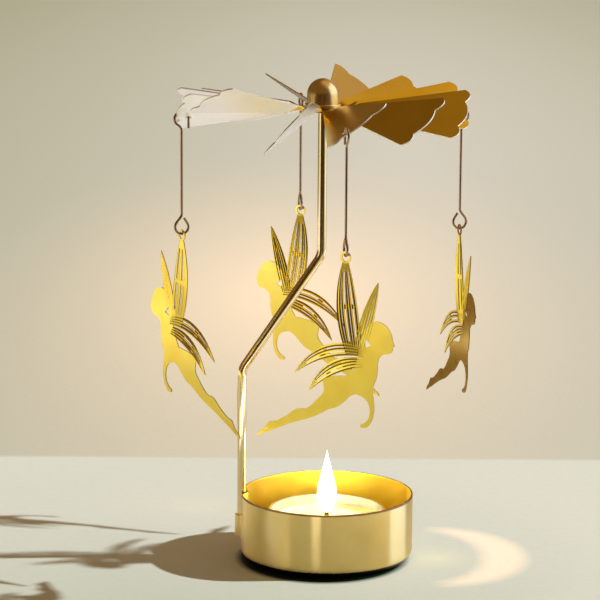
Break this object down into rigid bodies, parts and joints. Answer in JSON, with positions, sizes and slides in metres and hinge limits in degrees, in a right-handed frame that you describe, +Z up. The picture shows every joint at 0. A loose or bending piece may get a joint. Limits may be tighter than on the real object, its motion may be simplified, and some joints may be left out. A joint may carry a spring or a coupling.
{
  "type": "candle carousel",
  "caption": "Tealight carousel: a brass cup with a bent upright on which a pitched-blade spinner turns in the candle's warm air, carrying wire-hung flat fairy charms.",
  "frame": {"origin": "centre of the cup's flat underside", "axes": "+Z up along the cup's axis, +X from the bent upright towards the candle, +Y to the back as the picture sees it"},
  "size_m": [0.1078, 0.112, 0.1624],
  "materials": {
    "polished_brass": "polished, bright",
    "brass_sheet": "polished thin sheet with faint rolling lines",
    "brass_wire": "bright drawn wire",
    "foil": "pressed foil, satin",
    "wax": "smooth, slightly glossy where it has melted",
    "tin": "plain tinned",
    "cotton": "charred braided cotton"
  },
  "bodies": {
    "stand": {"cup": "polished_brass", "upright_rod": "polished_brass"},
    "rotor": {"spinner": "brass_sheet", "pivot_cap": "polished_brass"},
    "hanger_right": {"hanger_right": "brass_wire"},
    "hanger_back": {"hanger_back": "brass_wire"},
    "hanger_left": {"hanger_left": "brass_wire"},
    "hanger_front": {"hanger_front": "brass_wire"},
    "fairy_right": {"fairy_right": "brass_sheet"},
    "fairy_back": {"fairy_back": "brass_sheet"},
    "fairy_left": {"fairy_left": "brass_sheet"},
    "fairy_front": {"fairy_front": "brass_sheet"},
    "tealight": {"tealight_cup": "foil", "candle_wax": "wax", "wick_tab": "tin", "wick": "cotton"}
  },
  "joints": [
    {"name": "rotor_spin", "type": "hinge", "parent": "stand", "child": "rotor", "pos_m": [-0.0024, 0, 0.1518], "axis": [0, 0, 1], "continuous": true},
    {"name": "swing_right", "type": "hinge", "parent": "rotor", "child": "hanger_right", "pos_m": [0.0435, 0.00716, 0.1488], "axis": [-0.225, 0.9744, 0], "range_deg": [-25, 2]},
    {"name": "turn_right", "type": "hinge", "parent": "hanger_right", "child": "fairy_right", "pos_m": [0.0435, 0.00716, 0.11052], "axis": [0, 0, 1], "range_deg": [-50, 46]},
    {"name": "swing_back", "type": "hinge", "parent": "rotor", "child": "hanger_back", "pos_m": [-0.00956, 0.0459, 0.1488], "axis": [-0.9744, -0.225, 0], "range_deg": [-25, 2]},
    {"name": "turn_back", "type": "hinge", "parent": "hanger_back", "child": "fairy_back", "pos_m": [-0.00956, 0.0459, 0.11052], "axis": [0, 0, 1], "range_deg": [-2, 94]},
    {"name": "swing_left", "type": "hinge", "parent": "rotor", "child": "hanger_left", "pos_m": [-0.0483, -0.00716, 0.1488], "axis": [0.225, -0.9744, 0], "range_deg": [-25, 2]},
    {"name": "turn_left", "type": "hinge", "parent": "hanger_left", "child": "fairy_left", "pos_m": [-0.0483, -0.00716, 0.11052], "axis": [0, 0, 1], "range_deg": [-72, 24]},
    {"name": "swing_front", "type": "hinge", "parent": "rotor", "child": "hanger_front", "pos_m": [0.00476, -0.0459, 0.1488], "axis": [0.9744, 0.225, 0], "range_deg": [-25, 2]},
    {"name": "turn_front", "type": "hinge", "parent": "hanger_front", "child": "fairy_front", "pos_m": [0.00476, -0.0459, 0.11052], "axis": [0, 0, 1], "range_deg": [-2, 94]},
    {"name": "tealight_lift", "type": "slide", "parent": "stand", "child": "tealight", "axis": [0, 0, 1], "range_m": [0, 0.025]}
  ]
}
